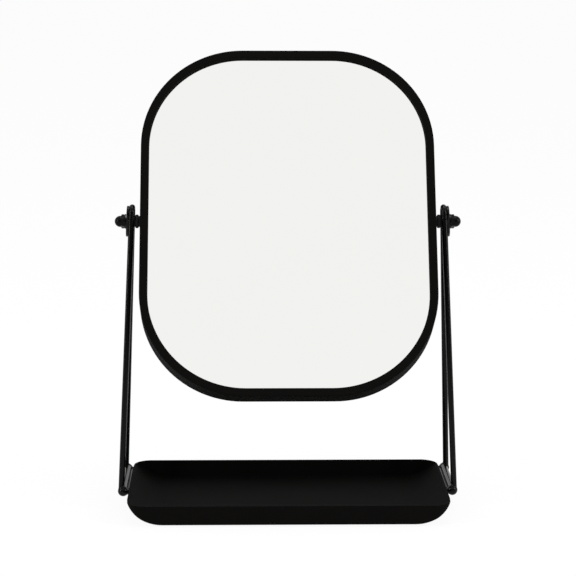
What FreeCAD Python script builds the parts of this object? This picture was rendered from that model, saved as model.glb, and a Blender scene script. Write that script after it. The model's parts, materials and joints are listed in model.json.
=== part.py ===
"""Table mirror that tilts between two wire loops standing at the ends of an open tray.

Millimetres and degrees. The origin lies on the table, straight below the axis that the mirror
tilts about. X runs to the right, Y to the back and Z up. The mirror stands at its resting tilt.
"""

import FreeCAD, Part
import math
import os
import Sketcher
from FreeCAD import Placement, Rotation, Vector

SIZES = (
    ("tray_width", 216.0, "outside width of the tray at its rim"),
    ("tray_depth", 107.0, "outside depth of the tray"),
    ("tray_height", 13.5, "underside of the tray to its rim"),
    ("tray_sheet", 1.0, "steel of the tray"),
    ("tray_end_bend", 28.0, "outside radius of the bend at each end"),
    ("tray_corner", 12.0, "corner radius of the rim, seen from above"),
    ("tray_fold", 2.0, "outside radius along the front and back folds"),
    ("tray_forward", 11.0, "middle of the tray in front of the tilt axis"),
    ("pad_diameter", 9.0, "foot pad"),
    ("pad_height", 1.0, "foot pad"),
    ("pad_edge", 0.4, "bevel round the foot of each pad"),
    ("pad_from_end", 36.0, "pad centre to the end of the tray"),
    ("pad_from_front", 14.0, "pad centre to the front or back of the tray"),
    ("rod_diameter", 4.0, "steel rod of the loops' legs"),
    ("base_rod_diameter", 5.0, "steel rod beside the tray"),
    ("loop_length", 52.6, "between the leg centre lines at the base rod"),
    ("loop_below_rim", 0.5, "tray rim to the centre of the base rod"),
    ("loop_gap", 1.3, "tray rim to base rod"),
    ("leg_outset", 1.4, "leg centre line at its foot outside the base rod's"),
    ("loop_bend", 4.1, "centre line radius of the bend at the top"),
    ("loop_above_pivot", 9.6, "tilt axis to the centre line at the top, along the loop"),
    ("ball_diameter", 7.2, "ball at each lower corner of a loop"),
    ("ball_outset", 0.2, "ball centre outside the base rod's centre line"),
    ("ball_drop", 0.7, "ball centre below the base rod's centre line"),
    ("neck_diameter", 3.2, "stub from the ball to the tray wall"),
    ("neck_drop", 0.6, "stub centre below the ball centre"),
    ("plate_width", 12.0, "pivot plate"),
    ("plate_height", 21.0, "pivot plate"),
    ("plate_thickness", 1.5, "pivot plate"),
    ("plate_bore", 5.4, "hole for the pivot bolt"),
    ("plate_edge", 0.4, "rounded edge of the pivot plate"),
    ("pivot_height", 194.4, "table to the tilt axis"),
    ("pivot_gap", 3.8, "side of the mirror to the rods, at the axis"),
    ("pivot_play", 0.1, "between what turns and what stands"),
    ("bolt_diameter", 5.0, "pivot bolt"),
    ("bolt_head_diameter", 8.2, "flat head inside the mirror rim"),
    ("bolt_head_thickness", 1.8, "flat head inside the mirror rim"),
    ("bolt_head_clearance", 0.3, "bolt head to the glass and to the back plate"),
    ("bolt_clearance", 0.1, "wider each hole that the bolt fills, in diameter"),
    ("bush_hub", 7.4, "diameter of the spacer where it bears on the rim and the rods"),
    ("bush_flange", 9.2, "diameter of the flange round the middle of the spacer"),
    ("bush_flange_thickness", 2.2, "spacer"),
    ("bush_seat", 0.6, "spacer's hub beyond its flange, towards the rods"),
    ("bush_round", 0.7, "rounded edges of the spacer's flange"),
    ("washer_diameter", 10.0, "outer washer"),
    ("washer_thickness", 1.0, "outer washer"),
    ("washer_edge", 0.2, "bevel on the washer"),
    ("nut_flats", 8.4, "cap nut across its flats"),
    ("nut_hexagon", 2.2, "length of the hexagon"),
    ("nut_collar", 0.7, "straight stretch between the hexagon and the dome"),
    ("nut_dome", 7.6, "diameter of the dome"),
    ("nut_bevel", 0.4, "bevelled corners of the hexagon"),
    ("nut_tip", 1.6, "metal left beyond the thread"),
    ("mirror_width", 199.2, "outside of the mirror rim"),
    ("mirror_height", 243.3, "outside of the mirror rim"),
    ("mirror_corner", 62.0, "outside corner radius of the mirror rim"),
    ("mirror_tilt", 26.9, "resting lean of the mirror, backwards"),
    ("mirror_drop", 0.8, "middle of the mirror below the tilt axis"),
    ("rim_depth", 17.0, "front to back of the rim"),
    ("rim_sheet", 1.0, "steel of the rim"),
    ("rim_face", 5.5, "width of the flat front face"),
    ("rim_recess", 3.2, "front face to the glass"),
    ("rim_round", 1.1, "rounded outer edge of the front face"),
    ("rim_inner_round", 0.6, "rounded inner edge of the front face"),
    ("glass_inset", 3.2, "edge of the glass inside the rim's outside"),
    ("glass_thickness", 3.0, "silvered glass"),
    ("board_inset", 8.0, "edge of the packing board inside the rim's outside"),
    ("back_clearance", 0.2, "back plate to the inside of the rim"),
    ("back_thickness", 2.5, "back plate"),
    ("back_recess", 1.6, "back plate's outside in front of the rim's rear edge"),
    ("lug_reach", 6.4, "lug from the rim wall inwards"),
    ("lug_width", 10.0, "lug along the rim"),
    ("lug_thickness", 3.0, "lug"),
    ("lug_from_corner", 3.0, "side lug to the start of the rim's corner"),
    ("screw_inset", 4.6, "back screw to the rim's outside"),
    ("screw_diameter", 3.0, "back screw"),
    ("screw_length", 5.2, "back screw under its head"),
    ("screw_head", 5.4, "diameter of the back screw's head"),
    ("screw_head_thickness", 1.5, "back screw"),
    ("screw_head_round", 0.6, "back screw"),
    ("screw_clearance", 0.4, "wider each hole in the back plate, in diameter"),
)

FITS = (
    ("tray_middle", "=-dims.tray_forward"),
    ("rim_level", "=dims.pad_height + dims.tray_height"),
    ("loop_level", "=rim_level - dims.loop_below_rim"),
    ("end_rise", "=dims.tray_end_bend - dims.tray_height"),
    ("tray_flat", "=dims.tray_width - 2 * sqrt(dims.tray_end_bend^2 - end_rise^2)"),
    ("cavity_width", "=dims.tray_width - 2 * dims.tray_sheet"),
    ("cavity_depth", "=dims.tray_depth - 2 * dims.tray_sheet"),
    ("cavity_bend", "=dims.tray_end_bend - dims.tray_sheet"),
    ("cavity_corner", "=dims.tray_corner - dims.tray_sheet"),
    ("cavity_fold", "=max(dims.tray_fold - dims.tray_sheet; 0.2)"),
    ("pad_x", "=dims.tray_width / 2 - dims.pad_from_end"),
    ("pad_y", "=dims.tray_depth / 2 - dims.pad_from_front"),
    ("rod_radius", "=dims.rod_diameter / 2"),
    ("rod_x", "=dims.tray_width / 2 + dims.loop_gap + dims.base_rod_diameter / 2"),
    ("ball_x", "=rod_x + dims.ball_outset"),
    ("ball_level", "=loop_level - dims.ball_drop"),
    ("foot_x", "=rod_x + dims.leg_outset"),
    ("pivot_x", "=dims.mirror_width / 2 + dims.pivot_gap + rod_radius"),
    ("lean", "=atan((foot_x - pivot_x) / (dims.pivot_height - loop_level))"),
    ("pivot_rise", "=(dims.pivot_height - loop_level) / cos(lean)"),
    ("loop_rise", "=pivot_rise + dims.loop_above_pivot"),
    ("crown_level", "=loop_rise - dims.loop_bend"),
    ("plate_bore_rise", "=pivot_rise - (rod_radius + dims.plate_thickness / 2) * tan(lean)"),
    ("plate_straight", "=dims.plate_height - dims.plate_width"),
    ("plate_low_centre", "=pivot_rise - plate_straight / 2"),
    ("half_loop", "=dims.loop_length / 2"),
    ("bolt_radius", "=dims.bolt_diameter / 2"),
    ("bolt_head_radius", "=dims.bolt_head_diameter / 2"),
    ("bolt_hole", "=dims.bolt_diameter + dims.bolt_clearance"),
    ("bolt_hole_radius", "=bolt_hole / 2"),
    ("bush_hub_radius", "=dims.bush_hub / 2"),
    ("bush_flange_radius", "=dims.bush_flange / 2"),
    ("washer_radius", "=dims.washer_diameter / 2"),
    ("washer_bevel_radius", "=washer_radius - dims.washer_edge"),
    ("rim_wall", "=dims.mirror_width / 2"),
    ("rim_wall_inside", "=rim_wall - dims.rim_sheet"),
    ("bolt_start", "=rim_wall_inside - dims.bolt_head_thickness"),
    ("leg_slope", "=atan(half_loop / crown_level) - asin(dims.loop_bend"
                  " / sqrt(half_loop^2 + crown_level^2))"),
    ("leg_spread", "=half_loop - pivot_rise * tan(leg_slope)"),
    ("bush_bearing", "=sqrt(rod_radius^2 - max(leg_spread * cos(leg_slope) - bush_hub_radius; 0)^2)"),
    ("bush_end", "=pivot_x - bush_bearing / cos(lean)"
                 " - bush_hub_radius * sin(leg_slope) * abs(tan(lean)) - dims.pivot_play"),
    ("bush_flange_end", "=bush_end - dims.bush_seat"),
    ("bush_flange_start", "=bush_flange_end - dims.bush_flange_thickness"),
    ("bush_edge", "=min(dims.bush_round; 0.45 * dims.bush_flange_thickness;"
                  " 0.45 * (dims.bush_flange - dims.bush_hub))"),
    ("washer_start", "=pivot_x + (rod_radius + dims.plate_thickness) / cos(lean)"
                     " + dims.washer_diameter / 2 * abs(tan(lean)) + dims.pivot_play"),
    ("washer_end", "=washer_start + dims.washer_thickness"),
    ("washer_bevel", "=washer_end - dims.washer_edge"),
    ("nut_flat_radius", "=dims.nut_flats / 2"),
    ("nut_dome_radius", "=dims.nut_dome / 2"),
    ("nut_shoulder", "=washer_end + dims.nut_hexagon"),
    ("nut_dome_start", "=nut_shoulder + dims.nut_collar"),
    ("nut_end", "=nut_dome_start + dims.nut_dome / 2"),
    ("nut_length", "=nut_end - washer_end"),
    ("nut_corner", "=dims.nut_flats / 2 / cos(30)"),
    ("bolt_end", "=nut_end - dims.nut_tip"),
    ("mirror_y", "=-dims.mirror_drop * sin(dims.mirror_tilt)"),
    ("mirror_z", "=dims.pivot_height - dims.mirror_drop * cos(dims.mirror_tilt)"),
    ("rim_front", "=-dims.rim_depth / 2"),
    ("rim_rear", "=dims.rim_depth / 2"),
    ("glass_front", "=rim_front + dims.rim_recess"),
    ("glass_rear", "=glass_front + dims.glass_thickness"),
    ("back_front", "=max(rim_rear - dims.back_recess - dims.back_thickness;"
                   " bolt_head_radius + dims.bolt_head_clearance)"),
    ("back_rear", "=back_front + dims.back_thickness"),
    ("lug_front", "=back_front - dims.lug_thickness"),
    ("board_thickness", "=back_front - glass_rear"),
    ("lug_middle", "=rim_wall_inside - dims.lug_reach / 2"),
    ("lug_middle_top", "=dims.mirror_height / 2 - dims.rim_sheet - dims.lug_reach / 2"),
    ("screw_x", "=rim_wall - dims.screw_inset"),
    ("screw_top", "=dims.mirror_height / 2 - dims.screw_inset"),
    ("screw_z", "=(dims.mirror_height - dims.lug_width) / 2 - dims.mirror_corner"
                " - dims.lug_from_corner"),
    ("screw_hole", "=dims.screw_diameter + dims.screw_clearance"),
)

OUTLINES = (
    ("opening", "=dims.rim_face"),
    ("channel", "=dims.rim_sheet"),
    ("return_wall", "=dims.rim_face - dims.rim_sheet"),
    ("glass", "=max(dims.glass_inset; dims.rim_sheet + dims.bolt_head_thickness"
              " + dims.bolt_head_clearance)"),
    ("board", "=dims.board_inset"),
    ("back", "=dims.rim_sheet + dims.back_clearance"),
)

START, END, CENTRE = range(1, 4)
ORIGIN = ACROSS_AXIS = -1
UPRIGHT_AXIS = ACROSS_AXIS - 1
RIGHT_ANGLE = math.pi / 2
TINY = 1e-6

os.makedirs("parts", exist_ok=True)
doc = FreeCAD.newDocument("TableMirror")


# ---- sheets ----------------------------------------------------------------------------------

def add_sheet(name, rows):
    sheet = doc.addObject("Spreadsheet::Sheet", name)
    for row, (alias, content, note) in enumerate(rows, start=1):
        sheet.set(f"A{row}", alias)
        sheet.set(f"B{row}", str(content))
        sheet.setAlias(f"B{row}", alias)
        sheet.set(f"C{row}", note)
    return sheet


def outline_rows():
    """Width, height and corner of each outline that lies a set distance inside the rim's."""
    for name, inset in OUTLINES:
        yield f"{name}_in", inset, "inside the rim's outline"
        yield f"{name}_width", f"=dims.mirror_width - 2 * {name}_in", ""
        yield f"{name}_height", f"=dims.mirror_height - 2 * {name}_in", ""
        yield f"{name}_corner", f"=dims.mirror_corner - {name}_in", ""


def number(size):
    """The present value of a size such as dims.tray_width."""
    sheet, alias = size.split(".")
    value = doc.getObject(sheet).get(alias)
    return float(getattr(value, "Value", value))


def bind(item, **sizes):
    for name, size in sizes.items():
        item.setExpression(name, size)


def place(item, x="0", y="0", z="0"):
    item.setExpression("Placement.Base.x", x)
    item.setExpression("Placement.Base.y", y)
    item.setExpression("Placement.Base.z", z)


# ---- bodies and sketches ---------------------------------------------------------------------

def add_body(name):
    body = doc.addObject("PartDesign::Body", name)
    body.Label = name
    return body


def origin_plane(body, role):
    return next(item for item in body.Origin.OriginFeatures if item.Role == role)


def add_sketch(body, name, plane, shift=None):
    """A sketch on one of the body's own planes, shifted along that plane's normal."""
    sketch = body.newObject("Sketcher::SketchObject", name)
    sketch.AttachmentSupport = (origin_plane(body, plane), [""])
    sketch.MapMode = "FlatFace"
    if shift:
        sketch.setExpression("AttachmentOffset.Base.z", shift)
    return sketch


def constrain(sketch, kind, *references):
    return sketch.addConstraint(Sketcher.Constraint(kind, *references))


def dimension(sketch, kind, *references, size):
    """Hold a distance or a radius at a size from the sheets."""
    index = constrain(sketch, kind, *references, number(size))
    sketch.setExpression(f"Constraints[{index}]", size)


def arc(sketch, centre, radius, start, end):
    circle = Part.Circle(Vector(*centre, 0), Vector(0, 0, 1), radius)
    return sketch.addGeometry(Part.ArcOfCircle(circle, start, end))


def line(sketch, start, end):
    return sketch.addGeometry(Part.LineSegment(Vector(*start, 0), Vector(*end, 0)))


def rounded_rectangle(sketch, width, height, corner):
    radius = number(corner)
    reach_x = number(width) / 2 - radius
    reach_y = number(height) / 2 - radius
    centres = ((reach_x, reach_y), (-reach_x, reach_y), (-reach_x, -reach_y), (reach_x, -reach_y))
    arcs = [
        arc(sketch, centre, radius, turn * RIGHT_ANGLE, (turn + 1) * RIGHT_ANGLE)
        for turn, centre in enumerate(centres)
    ]
    sides = []
    for turn, first in enumerate(arcs):
        second = arcs[(turn + 1) % len(arcs)]
        begin = sketch.getPoint(first, END)
        finish = sketch.getPoint(second, START)
        side = line(sketch, (begin.x, begin.y), (finish.x, finish.y))
        constrain(sketch, "Tangent", first, END, side, START)
        constrain(sketch, "Tangent", side, END, second, START)
        constrain(sketch, ("Horizontal", "Vertical")[turn % 2], side)
        sides.append(side)
    for other in arcs[1:]:
        constrain(sketch, "Equal", arcs[0], other)
    constrain(sketch, "Symmetric", arcs[0], CENTRE, arcs[2], CENTRE, ORIGIN, START)
    top, left, bottom, right = sides
    dimension(sketch, "Radius", arcs[0], size=corner)
    dimension(sketch, "DistanceX", left, START, right, START, size=width)
    dimension(sketch, "DistanceY", bottom, START, top, START, size=height)


def circle(sketch, diameter, x=None, y=None, signs=(1, 1)):
    """A circle at the sketch's origin, or at sizes x and y along its axes."""
    spot = (signs[0] * number(x) if x else 0, signs[1] * number(y) if y else 0)
    ring = sketch.addGeometry(Part.Circle(Vector(*spot, 0), Vector(0, 0, 1), number(diameter) / 2))
    for size, sign, kind, axis in (
        (x, signs[0], "DistanceX", UPRIGHT_AXIS),
        (y, signs[1], "DistanceY", ACROSS_AXIS),
    ):
        if not size:
            constrain(sketch, "PointOnObject", ring, CENTRE, axis)
        elif sign > 0:
            dimension(sketch, kind, ORIGIN, START, ring, CENTRE, size=size)
        else:
            dimension(sketch, kind, ring, CENTRE, ORIGIN, START, size=size)
    dimension(sketch, "Diameter", ring, size=diameter)
    return ring


def polygon(sketch, corners):
    """A closed outline whose corners lie at sizes (across, up), where None is on the axis."""
    spots = [
        (number(across) if across else 0, number(up) if up else 0)
        for across, up in corners
    ]
    lines = [
        line(sketch, spot, spots[(turn + 1) % len(spots)])
        for turn, spot in enumerate(spots)
    ]
    for turn, (side, (across, up)) in enumerate(zip(lines, corners)):
        constrain(sketch, "Coincident", lines[turn - 1], END, side, START)
        if across:
            dimension(sketch, "DistanceX", ORIGIN, START, side, START, size=across)
        else:
            constrain(sketch, "PointOnObject", side, START, UPRIGHT_AXIS)
        if up:
            dimension(sketch, "DistanceY", ORIGIN, START, side, START, size=up)
        else:
            constrain(sketch, "PointOnObject", side, START, ACROSS_AXIS)


def pad(body, name, sketch, length, middle=False, reverse=False):
    feature = body.newObject("PartDesign::Pad", name)
    feature.Profile = sketch
    feature.SideType = "Symmetric" if middle else "One side"
    feature.Reversed = reverse
    bind(feature, Length=length)
    return feature


def pocket(body, name, sketch, length=None, reverse=False):
    """Cut a depth into the body, or all the way through both ways."""
    feature = body.newObject("PartDesign::Pocket", name)
    feature.Profile = sketch
    feature.Reversed = reverse
    if length:
        bind(feature, Length=length)
    else:
        feature.Type = "ThroughAll"
        feature.SideType = "Symmetric"
    return feature


def revolve(body, name, sketch):
    """Turn a profile about the body's X axis."""
    feature = body.newObject("PartDesign::Revolution", name)
    feature.Profile = sketch
    feature.ReferenceAxis = (sketch, ["H_Axis"])
    feature.Angle = 360
    return feature


def edges_where(shape, wanted):
    return [f"Edge{n}" for n, edge in enumerate(shape.Edges, start=1) if wanted(edge)]


def fillet(body, name, base, radius, wanted):
    """Round the edges of a feature that the test picks out."""
    doc.recompute()
    feature = body.newObject("PartDesign::Fillet", name)
    feature.Base = (base, edges_where(base.Shape, wanted))
    bind(feature, Radius=radius)
    return feature


def boolean(kind, name, first, second):
    feature = doc.addObject(f"Part::{kind}", name)
    feature.Base = first
    feature.Tool = second
    feature.Label = name
    return feature


def mirrored(name, source):
    """The left-hand twin of a right-hand piece."""
    twin = doc.addObject("Part::Mirroring", name)
    twin.Source = source
    twin.Normal = Vector(1, 0, 0)
    twin.Label = name
    return twin


def group(name, members):
    feature = doc.addObject("Part::Compound", name)
    feature.Links = members
    feature.Label = name
    return feature


# ---- tray ------------------------------------------------------------------------------------

def tray_form(name, level, width, depth, bend, corner, fold):
    """A solid with the tray's bent ends, upright front and back and rounded plan."""
    body = add_body(name)
    flat = number("fits.tray_flat") / 2
    base = number(level) if level else 0
    radius = number(bend)
    top = number("dims.tray_height")
    middle = base + radius
    lift = math.asin((top - middle) / radius)
    half_top = flat + radius * math.cos(lift)
    profile = add_sketch(body, f"{name}_profile", "XZ_Plane")
    floor = line(profile, (-flat, base), (flat, base))
    right = arc(profile, (flat, middle), radius, -RIGHT_ANGLE, lift)
    lid = line(profile, (half_top, top), (-half_top, top))
    left = arc(profile, (-flat, middle), radius, math.pi - lift, math.pi + RIGHT_ANGLE)
    constrain(profile, "Tangent", floor, END, right, START)
    constrain(profile, "Coincident", right, END, lid, START)
    constrain(profile, "Coincident", lid, END, left, START)
    constrain(profile, "Tangent", left, END, floor, START)
    constrain(profile, "Equal", right, left)
    constrain(profile, "Symmetric", floor, START, floor, END, UPRIGHT_AXIS)
    constrain(profile, "Horizontal", lid)
    if level:
        dimension(profile, "DistanceY", ORIGIN, START, floor, START, size=level)
    else:
        constrain(profile, "PointOnObject", floor, START, ACROSS_AXIS)
    dimension(profile, "DistanceX", floor, START, floor, END, size="fits.tray_flat")
    dimension(profile, "Radius", right, size=bend)
    dimension(profile, "DistanceY", ORIGIN, START, lid, START, size="dims.tray_height")
    pad(body, f"{name}_length", profile, depth, middle=True)
    plan = add_sketch(body, f"{name}_plan", "XY_Plane")
    rounded_rectangle(plan, width, depth, corner)
    margin = number("dims.tray_width")
    corners = ((-margin, -margin), (margin, -margin), (margin, margin), (-margin, margin))
    frame = [line(plan, spot, corners[(turn + 1) % 4]) for turn, spot in enumerate(corners)]
    for turn, side in enumerate(frame):
        constrain(plan, "Coincident", frame[turn - 1], END, side, START)
        constrain(plan, ("Horizontal", "Vertical")[turn % 2], side)
    constrain(plan, "Symmetric", frame[0], START, frame[2], START, ORIGIN, START)
    dimension(plan, "DistanceX", frame[0], START, ORIGIN, START, size="dims.tray_width")
    dimension(plan, "DistanceY", frame[0], START, ORIGIN, START, size="dims.tray_width")
    trimmed = pocket(body, f"{name}_corners", plan)
    reach = number(depth) / 2

    def along_fold(edge):
        spot = edge.BoundBox.Center
        return abs(spot.x) < TINY and abs(abs(spot.y) - reach) < TINY and spot.z < top - TINY

    fillet(body, f"{name}_folds", trimmed, fold, along_fold)
    place(body, y="fits.tray_middle", z="dims.pad_height")
    return body


def add_tray():
    outside = tray_form(
        "tray_outside", None, "dims.tray_width", "dims.tray_depth",
        "dims.tray_end_bend", "dims.tray_corner", "dims.tray_fold",
    )
    cavity = tray_form(
        "tray_cavity", "dims.tray_sheet", "fits.cavity_width", "fits.cavity_depth",
        "fits.cavity_bend", "fits.cavity_corner", "fits.cavity_fold",
    )
    return outside, boolean("Cut", "tray_shell", outside, cavity)


def add_foot_pads():
    pads = []
    for row, side_y in (("front", "-"), ("rear", "")):
        for column, side_x in (("left", "-"), ("right", "")):
            body = add_body(f"foot_pad_{row}_{column}")
            sketch = add_sketch(body, f"{body.Name}_round", "XY_Plane")
            circle(sketch, "dims.pad_diameter")
            disc = pad(body, f"{body.Name}_disc", sketch, "dims.pad_height")
            doc.recompute()
            bevel = body.newObject("PartDesign::Chamfer", f"{body.Name}_bevel")
            bevel.Base = (disc, edges_where(disc.Shape, lambda edge: edge.BoundBox.ZMax < TINY))
            bind(bevel, Size="dims.pad_edge")
            place(body, x=f"{side_x}fits.pad_x", y=f"fits.tray_middle + {side_y}fits.pad_y")
            pads.append(body)
    return pads


# ---- wire loops ------------------------------------------------------------------------------

def stand_on_loop(body):
    """Put a body in the loop's own frame: origin between the feet of its legs, Z up along it."""
    body.Placement = Placement(Vector(), Rotation(Vector(0, 1, 0), 1))
    place(body, x="fits.foot_x", z="fits.loop_level")
    body.setExpression("Placement.Rotation.Angle", "-fits.lean")


def add_hairpin():
    """Two straight legs and the bend that joins them at the top, bent from one rod."""
    body = add_body("right_hairpin")
    foot = number("dims.loop_length") / 2
    bend = number("dims.loop_bend")
    rise = number("fits.loop_rise")
    slope = math.atan2(foot, rise - bend) - math.asin(bend / math.hypot(foot, rise - bend))
    touch = (bend * math.cos(slope), rise - bend + bend * math.sin(slope))
    path = add_sketch(body, "hairpin_path", "YZ_Plane")
    crown = arc(path, (0, rise - bend), bend, slope, RIGHT_ANGLE)
    leg = line(path, touch, (foot, 0))
    constrain(path, "Tangent", crown, START, leg, START)
    constrain(path, "PointOnObject", crown, CENTRE, UPRIGHT_AXIS)
    constrain(path, "PointOnObject", crown, END, UPRIGHT_AXIS)
    constrain(path, "PointOnObject", leg, END, ACROSS_AXIS)
    dimension(path, "Radius", crown, size="dims.loop_bend")
    dimension(path, "DistanceY", ORIGIN, START, crown, END, size="fits.loop_rise")
    dimension(path, "DistanceX", ORIGIN, START, leg, END, size="fits.half_loop")
    section = add_sketch(body, "hairpin_section", "XZ_Plane")
    circle(section, "dims.rod_diameter", y="fits.loop_rise")
    half = body.newObject("PartDesign::AdditivePipe", "hairpin_half")
    half.Profile = section
    half.Spine = path
    doc.recompute()
    whole = body.newObject("PartDesign::Mirrored", "hairpin_whole")
    whole.Originals = [half]
    whole.MirrorPlane = (origin_plane(body, "XZ_Plane"), [""])
    body.Tip = whole
    stand_on_loop(body)
    return body


def add_base_rod(hairpin):
    """A rod beside the tray's rim, its ends coped where they meet the legs."""
    blank = add_body("base_rod_blank")
    section = add_sketch(blank, "base_rod_section", "XZ_Plane")
    circle(section, "dims.base_rod_diameter")
    pad(blank, "base_rod_length", section, "dims.loop_length", middle=True)
    place(blank, x="fits.rod_x", z="fits.loop_level")
    return boolean("Cut", "right_base_rod", blank, hairpin)


def add_corner_ball(row, sign, hairpin, base_rod, tray_outside):
    """A ball that takes the ends of two rods, with a stub that stands on the tray wall."""
    name = f"right_{row}_corner_ball"
    depth = f"{sign}dims.loop_length / 2"
    ball = doc.addObject("Part::Sphere", f"{name}_sphere")
    bind(ball, Radius="dims.ball_diameter / 2")
    place(ball, x="fits.ball_x", y=depth, z="fits.ball_level")
    stub = doc.addObject("Part::Cylinder", f"{name}_stub")
    stub.Placement = Placement(Vector(), Rotation(Vector(0, 1, 0), -90))
    bind(stub, Radius="dims.neck_diameter / 2", Height="fits.ball_x - fits.tray_flat / 2")
    place(stub, x="fits.ball_x", y=depth, z="fits.ball_level - dims.neck_drop")
    joined = boolean("Fuse", f"{name}_blank", ball, stub)
    drilled = boolean("Cut", f"{name}_drilled", joined, hairpin)
    bored = boolean("Cut", f"{name}_bored", drilled, base_rod)
    return boolean("Cut", name, bored, tray_outside)


def add_pivot_plate():
    """An oblong plate welded to the outside of the legs, with the hole for the bolt."""
    body = add_body("right_pivot_plate")
    sketch = add_sketch(body, "plate_outline", "YZ_Plane", shift="fits.rod_radius")
    radius = number("dims.plate_width") / 2
    middle = number("fits.pivot_rise")
    reach = number("fits.plate_straight") / 2
    top = arc(sketch, (0, middle + reach), radius, 0, math.pi)
    bottom = arc(sketch, (0, middle - reach), radius, math.pi, 2 * math.pi)
    left = line(sketch, (-radius, middle + reach), (-radius, middle - reach))
    right = line(sketch, (radius, middle - reach), (radius, middle + reach))
    constrain(sketch, "Tangent", top, END, left, START)
    constrain(sketch, "Tangent", left, END, bottom, START)
    constrain(sketch, "Tangent", bottom, END, right, START)
    constrain(sketch, "Tangent", right, END, top, START)
    constrain(sketch, "PointOnObject", top, CENTRE, UPRIGHT_AXIS)
    constrain(sketch, "PointOnObject", bottom, CENTRE, UPRIGHT_AXIS)
    dimension(sketch, "DistanceX", left, START, right, START, size="dims.plate_width")
    dimension(sketch, "DistanceY", bottom, CENTRE, top, CENTRE, size="fits.plate_straight")
    dimension(sketch, "DistanceY", ORIGIN, START, bottom, CENTRE, size="fits.plate_low_centre")
    blank = pad(body, "plate_blank", sketch, "dims.plate_thickness")
    outer = number("fits.rod_radius") + number("dims.plate_thickness")
    fillet(body, "plate_round", blank, "dims.plate_edge", lambda edge: edge.BoundBox.XMin > outer - TINY)
    hole = add_sketch(body, "plate_hole", "YZ_Plane")
    circle(hole, "dims.plate_bore", y="fits.plate_bore_rise")
    pocket(body, "plate_bore", hole)
    stand_on_loop(body)
    return body


# ---- pivots ----------------------------------------------------------------------------------

def turned(name, corners):
    """A body turned about the tilt axis from corners at sizes (along, radius)."""
    body = add_body(name)
    profile = add_sketch(body, f"{name}_profile", "XZ_Plane")
    polygon(profile, corners)
    revolve(body, f"{name}_turned", profile)
    place(body, z="dims.pivot_height")
    return body


def add_pivot_bolt():
    return turned("right_pivot_bolt", (
        ("fits.bolt_start", None),
        ("fits.bolt_start", "fits.bolt_head_radius"),
        ("fits.rim_wall_inside", "fits.bolt_head_radius"),
        ("fits.rim_wall_inside", "fits.bolt_radius"),
        ("fits.bolt_end", "fits.bolt_radius"),
        ("fits.bolt_end", None),
    ))


def add_spacer_bush():
    """A hub that keeps the mirror off the rods, with a round-edged flange round its middle."""
    body = turned("right_spacer_bush", (
        ("fits.rim_wall", "fits.bolt_hole_radius"),
        ("fits.rim_wall", "fits.bush_hub_radius"),
        ("fits.bush_flange_start", "fits.bush_hub_radius"),
        ("fits.bush_flange_start", "fits.bush_flange_radius"),
        ("fits.bush_flange_end", "fits.bush_flange_radius"),
        ("fits.bush_flange_end", "fits.bush_hub_radius"),
        ("fits.bush_end", "fits.bush_hub_radius"),
        ("fits.bush_end", "fits.bolt_hole_radius"),
    ))
    doc.recompute()
    flange = number("dims.bush_flange")
    fillet(
        body, "bush_rounds", body.Tip, "fits.bush_edge",
        lambda edge: edge.BoundBox.XLength < TINY and edge.BoundBox.ZLength > flange - TINY,
    )
    return body


def add_washer():
    return turned("right_washer", (
        ("fits.washer_start", "fits.bolt_hole_radius"),
        ("fits.washer_start", "fits.washer_radius"),
        ("fits.washer_bevel", "fits.washer_radius"),
        ("fits.washer_end", "fits.washer_bevel_radius"),
        ("fits.washer_end", "fits.bolt_hole_radius"),
    ))


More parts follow.
